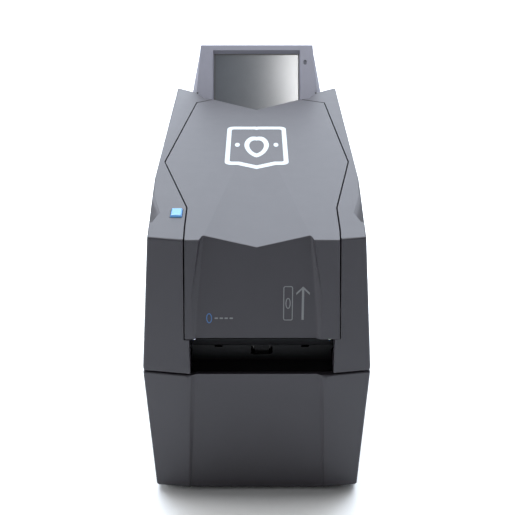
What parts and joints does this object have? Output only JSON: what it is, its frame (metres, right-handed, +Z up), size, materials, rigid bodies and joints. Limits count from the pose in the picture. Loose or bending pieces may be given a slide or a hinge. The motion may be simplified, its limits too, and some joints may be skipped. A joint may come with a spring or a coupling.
{
  "type": "bill validator",
  "caption": "Desktop bill validator with a front note slot, straight transport path, hinged lid with release button and tilting screen.",
  "frame": {"origin": "middle of the footprint, on the table under the rubber feet", "axes": "+X to the machine's right-hand side as seen from the front, +Y from the note slot to the back, +Z up"},
  "size_m": [0.1376, 0.2798, 0.2359],
  "materials": {
    "housing_plastic": "fine matt texture, blue-grey",
    "bezel_plastic": "fine matt texture, lighter blue-grey",
    "black_plastic": "matt",
    "path_plastic": "smooth, satin",
    "black_steel": "black, satin",
    "sheet_steel": "zinc plated, dull",
    "port_shell": "nickel plated",
    "bright_steel": "ground",
    "brass": "machined",
    "foot_rubber": "matt",
    "belt_rubber": "matt",
    "tyre_rubber": "light grey, matt",
    "sensor_glass": "dark, polished",
    "circuit_board": "green solder resist",
    "rocker_plastic": "red, glossy",
    "light_guide": "clear white",
    "button_plastic": "light blue, satin",
    "latch_plastic": "acetal, natural",
    "screen_glass": "dark, polished",
    "led_lens": "smoked"
  },
  "bodies": {
    "chassis": {"base_housing": "housing_plastic", "bottom_plate": "black_steel", "foot_front_left": "foot_rubber", "foot_front_right": "foot_rubber", "foot_rear_left": "foot_rubber", "foot_rear_right": "foot_rubber", "foot_screw_front_left": "bright_steel", "foot_screw_front_right": "bright_steel", "foot_screw_rear_left": "bright_steel", "foot_screw_rear_right": "bright_steel", "upper_housing": "housing_plastic", "rear_panel": "sheet_steel", "power_inlet": "black_plastic", "usb_port": "port_shell", "network_port": "port_shell", "side_frame_left": "sheet_steel", "side_frame_right": "sheet_steel", "tie_bar_front": "bright_steel", "tie_bar_rear": "bright_steel", "inlet_tray": "path_plastic", "note_bed": "path_plastic", "exit_guide": "path_plastic", "lower_window": "sensor_glass", "lower_sensor_board": "circuit_board", "drive_motor": "black_steel", "drive_belt": "belt_rubber", "main_board": "circuit_board", "power_supply": "sheet_steel", "shaft_bushings": "brass", "hinge_pin_left": "bright_steel", "hinge_pin_right": "bright_steel", "button_spring": "bright_steel", "latch_guide": "black_plastic", "tilt_bracket_left": "black_steel", "tilt_bracket_right": "black_steel"},
    "lid": {"lid_cover": "housing_plastic", "lid_frame": "sheet_steel", "upper_guide": "path_plastic", "upper_window": "sensor_glass", "upper_sensor_board": "circuit_board", "hinge_arm_left": "sheet_steel", "hinge_arm_right": "sheet_steel", "light_pin_left": "light_guide", "light_pin_right": "light_guide"},
    "screen": {"screen_bezel": "bezel_plastic", "screen_shell": "bezel_plastic", "screen_panel": "screen_glass", "screen_board": "circuit_board", "status_led": "led_lens", "tilt_pins": "bright_steel"},
    "button": {"release_button": "button_plastic"},
    "latch": {"latch_bolt": "latch_plastic"},
    "rocker": {"power_rocker": "rocker_plastic"},
    "feed_front": {"feed_shaft_front": "bright_steel", "feed_tyres_front": "tyre_rubber"},
    "feed_rear": {"feed_shaft_rear": "bright_steel", "feed_tyres_rear": "tyre_rubber"},
    "motor_rotor": {"motor_pulley": "brass"},
    "pinch_front": {"pinch_roller_front": "black_plastic"},
    "pinch_rear": {"pinch_roller_rear": "black_plastic"}
  },
  "joints": [
    {"name": "lid_hinge", "type": "hinge", "parent": "chassis", "child": "lid", "pos_m": [0, 0.09714, 0.194], "axis": [-1, 0, 0], "range_deg": [0, 70]},
    {"name": "screen_tilt", "type": "hinge", "parent": "chassis", "child": "screen", "pos_m": [0, 0.10994, 0.18111], "axis": [-1, 0, 0], "range_deg": [0, 25]},
    {"name": "button_press", "type": "slide", "parent": "chassis", "child": "button", "axis": [0, 0, -1], "range_m": [0, 0.0025], "stiffness_N_per_m": 300, "deforming": ["button_spring"]},
    {"name": "latch_slide", "type": "slide", "parent": "chassis", "child": "latch", "axis": [-1, 0, 0], "range_m": [0, 0.0025]},
    {"name": "rocker_tip", "type": "hinge", "parent": "chassis", "child": "rocker", "pos_m": [-0.024, 0.11464, 0.031], "axis": [1, 0, 0], "range_deg": [0, 18]},
    {"name": "feed_front_spin", "type": "hinge", "parent": "chassis", "child": "feed_front", "pos_m": [0, -0.10985, 0.0957], "axis": [1, 0, 0], "continuous": true},
    {"name": "feed_rear_spin", "type": "hinge", "parent": "chassis", "child": "feed_rear", "pos_m": [0, 0.03214, 0.0957], "axis": [1, 0, 0], "continuous": true},
    {"name": "motor_spin", "type": "hinge", "parent": "chassis", "child": "motor_rotor", "pos_m": [0, -0.03585, 0.058], "axis": [1, 0, 0], "continuous": true},
    {"name": "pinch_front_spin", "type": "hinge", "parent": "lid", "child": "pinch_front", "pos_m": [0, -0.10985, 0.111], "axis": [1, 0, 0], "continuous": true},
    {"name": "pinch_rear_spin", "type": "hinge", "parent": "lid", "child": "pinch_rear", "pos_m": [0, 0.03214, 0.111], "axis": [1, 0, 0], "continuous": true}
  ],
  "couplings": [
    {"joint": "latch_slide", "follows": "button_press", "ratio": 1},
    {"joint": "feed_rear_spin", "follows": "feed_front_spin", "ratio": 1},
    {"joint": "motor_spin", "follows": "feed_front_spin", "ratio": 1.5},
    {"joint": "pinch_front_spin", "follows": "feed_front_spin", "ratio": -1.5},
    {"joint": "pinch_rear_spin", "follows": "feed_front_spin", "ratio": -1.5}
  ]
}
